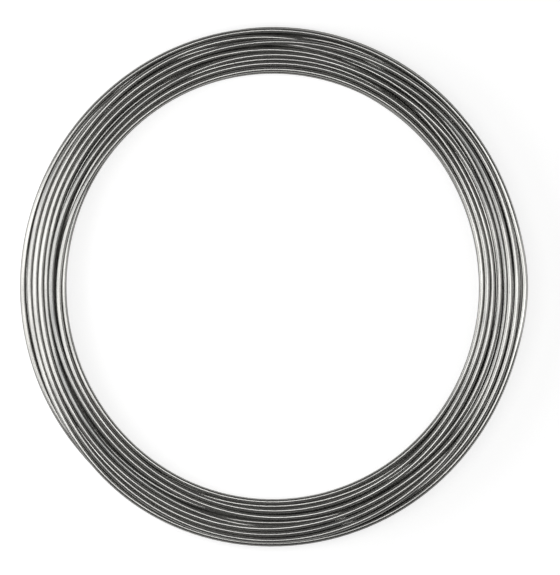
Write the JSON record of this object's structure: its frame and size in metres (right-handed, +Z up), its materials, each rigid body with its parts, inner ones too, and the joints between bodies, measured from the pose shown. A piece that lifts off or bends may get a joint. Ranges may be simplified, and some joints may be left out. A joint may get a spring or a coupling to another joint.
{
  "type": "wire coil",
  "caption": "Flat round coil of bright galvanized steel wire, its turns nested in rows round an open bore.",
  "frame": {"origin": "centre of the coil on its underside, which is the level that it lies on", "axes": "+Z up along the coil's own axis; the coil is round about it"},
  "size_m": [0.1788, 0.1788, 0.0138],
  "materials": {
    "galvanized_steel": "bright drawn zinc coat, smooth and glossy, with faint lengthwise lines and light patina specks"
  },
  "bodies": {
    "root": {"wire_coil": "galvanized_steel"}
  },
  "joints": []
}
